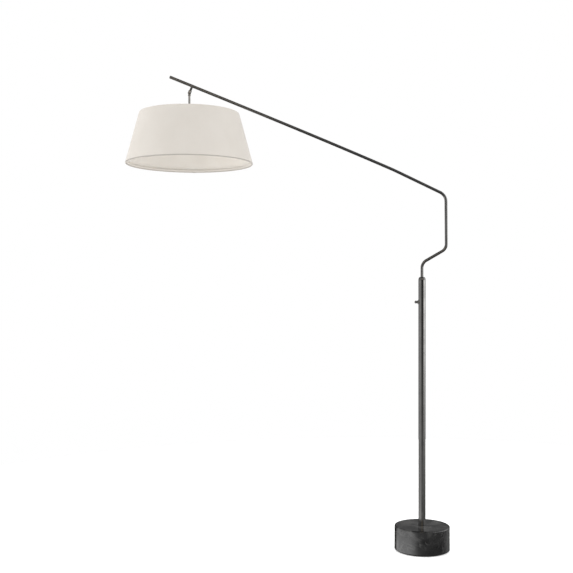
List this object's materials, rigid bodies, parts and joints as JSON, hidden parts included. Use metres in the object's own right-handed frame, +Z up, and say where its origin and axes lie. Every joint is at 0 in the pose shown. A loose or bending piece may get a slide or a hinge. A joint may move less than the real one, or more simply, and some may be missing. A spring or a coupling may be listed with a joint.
{
  "type": "floor lamp",
  "caption": "Side-arm floor lamp: a heavy marble drum base, a straight pole, a cranked sliding and swivelling arm, and a hanging tapered fabric drum shade.",
  "frame": {"origin": "on the pole's axis, at the underside of the foot pad", "axes": "+Z up along the pole, -X from the pole towards the shade, +Y from the front of the lamp to its back"},
  "size_m": [1.4217, 0.5578, 2.0852],
  "materials": {
    "marble": "polished",
    "felt": "matte",
    "bronze": "satin",
    "dark_bronze": "satin",
    "zinc_steel": "satin",
    "nickel": "satin",
    "brass": "satin",
    "aluminium": "satin",
    "white_steel": "satin",
    "black_nylon": "matte",
    "white_nylon": "matte",
    "linen": "matte",
    "liner": "satin",
    "card": "matte",
    "phenolic": "gloss",
    "frosted_glass": "satin",
    "lead": "matte"
  },
  "bodies": {
    "stand": {"marble_base": "marble", "foot_pad": "felt", "clamp_rod": "zinc_steel", "clamp_washer": "zinc_steel", "lock_washer": "zinc_steel", "clamp_nut": "zinc_steel", "pole_foot_plug": "zinc_steel", "cord_gland": "black_nylon", "stand_lead": "lead", "pole_tube": "bronze", "pole_cap": "bronze", "guide_bush": "black_nylon", "lock_collar": "dark_bronze", "lock_insert": "zinc_steel"},
    "stem_glide": {"stem_glide": "white_nylon"},
    "arm": {"glide_clip_lower": "zinc_steel", "glide_clip_upper": "zinc_steel", "arm_riser": "bronze", "arm_coupler": "zinc_steel", "boom_tube": "bronze", "boom_end_cap": "dark_bronze", "arm_lead": "lead", "hanger_nipple": "zinc_steel", "hanger_sleeve": "bronze", "swivel_fork": "dark_bronze", "pivot_screw": "dark_bronze", "thumb_nut": "dark_bronze", "friction_washer_front": "zinc_steel", "friction_washer_rear": "zinc_steel"},
    "lock_pad": {"lock_pad": "brass"},
    "lock_screw": {"lock_screw": "zinc_steel", "lock_ball": "dark_bronze"},
    "pendant": {"swivel_tongue": "dark_bronze", "hang_rod": "nickel", "jam_nut": "brass", "pendant_lead": "lead", "spider_hub": "white_steel", "spider_arm_1": "white_steel", "spider_arm_2": "white_steel", "spider_arm_3": "white_steel", "shade_ring_upper": "white_steel", "shade_ring_lower": "white_steel", "shade_liner": "liner", "shade_fabric": "linen", "socket_cap": "brass", "socket_shell": "brass", "socket_sleeve": "card", "switch_block": "phenolic", "screw_shell": "brass", "centre_contact": "brass", "bulb_cap": "aluminium", "bulb_glass": "frosted_glass"},
    "switch_key": {"key_stem": "brass", "key_grip": "phenolic"}
  },
  "joints": [
    {"name": "arm_lift", "type": "slide", "parent": "stand", "child": "stem_glide", "axis": [0, 0, 1], "range_m": [-0.038, 0.15]},
    {"name": "arm_swivel", "type": "hinge", "parent": "stem_glide", "child": "arm", "pos_m": [0, 0, 0.9], "axis": [0, 0, 1], "range_deg": [-170, 170]},
    {"name": "lock_pad_slide", "type": "slide", "parent": "stand", "child": "lock_pad", "axis": [-1, 0, 0], "range_m": [0, 0.00201]},
    {"name": "lock_screw_turn", "type": "hinge", "parent": "lock_pad", "child": "lock_screw", "pos_m": [-0.016, 0, 1.09], "axis": [-1, 0, 0], "range_deg": [0, 720]},
    {"name": "shade_tilt", "type": "hinge", "parent": "arm", "child": "pendant", "pos_m": [-1.0225, 0, 2.0087], "axis": [0, 1, 0], "range_deg": [-4, 35]},
    {"name": "switch_key_turn", "type": "hinge", "parent": "pendant", "child": "switch_key", "pos_m": [-1.0225, 0, 1.868], "axis": [0, -1, 0], "continuous": true}
  ],
  "couplings": [
    {"joint": "lock_pad_slide", "follows": "lock_screw_turn", "m_per_rad": 0.00015915}
  ]
}
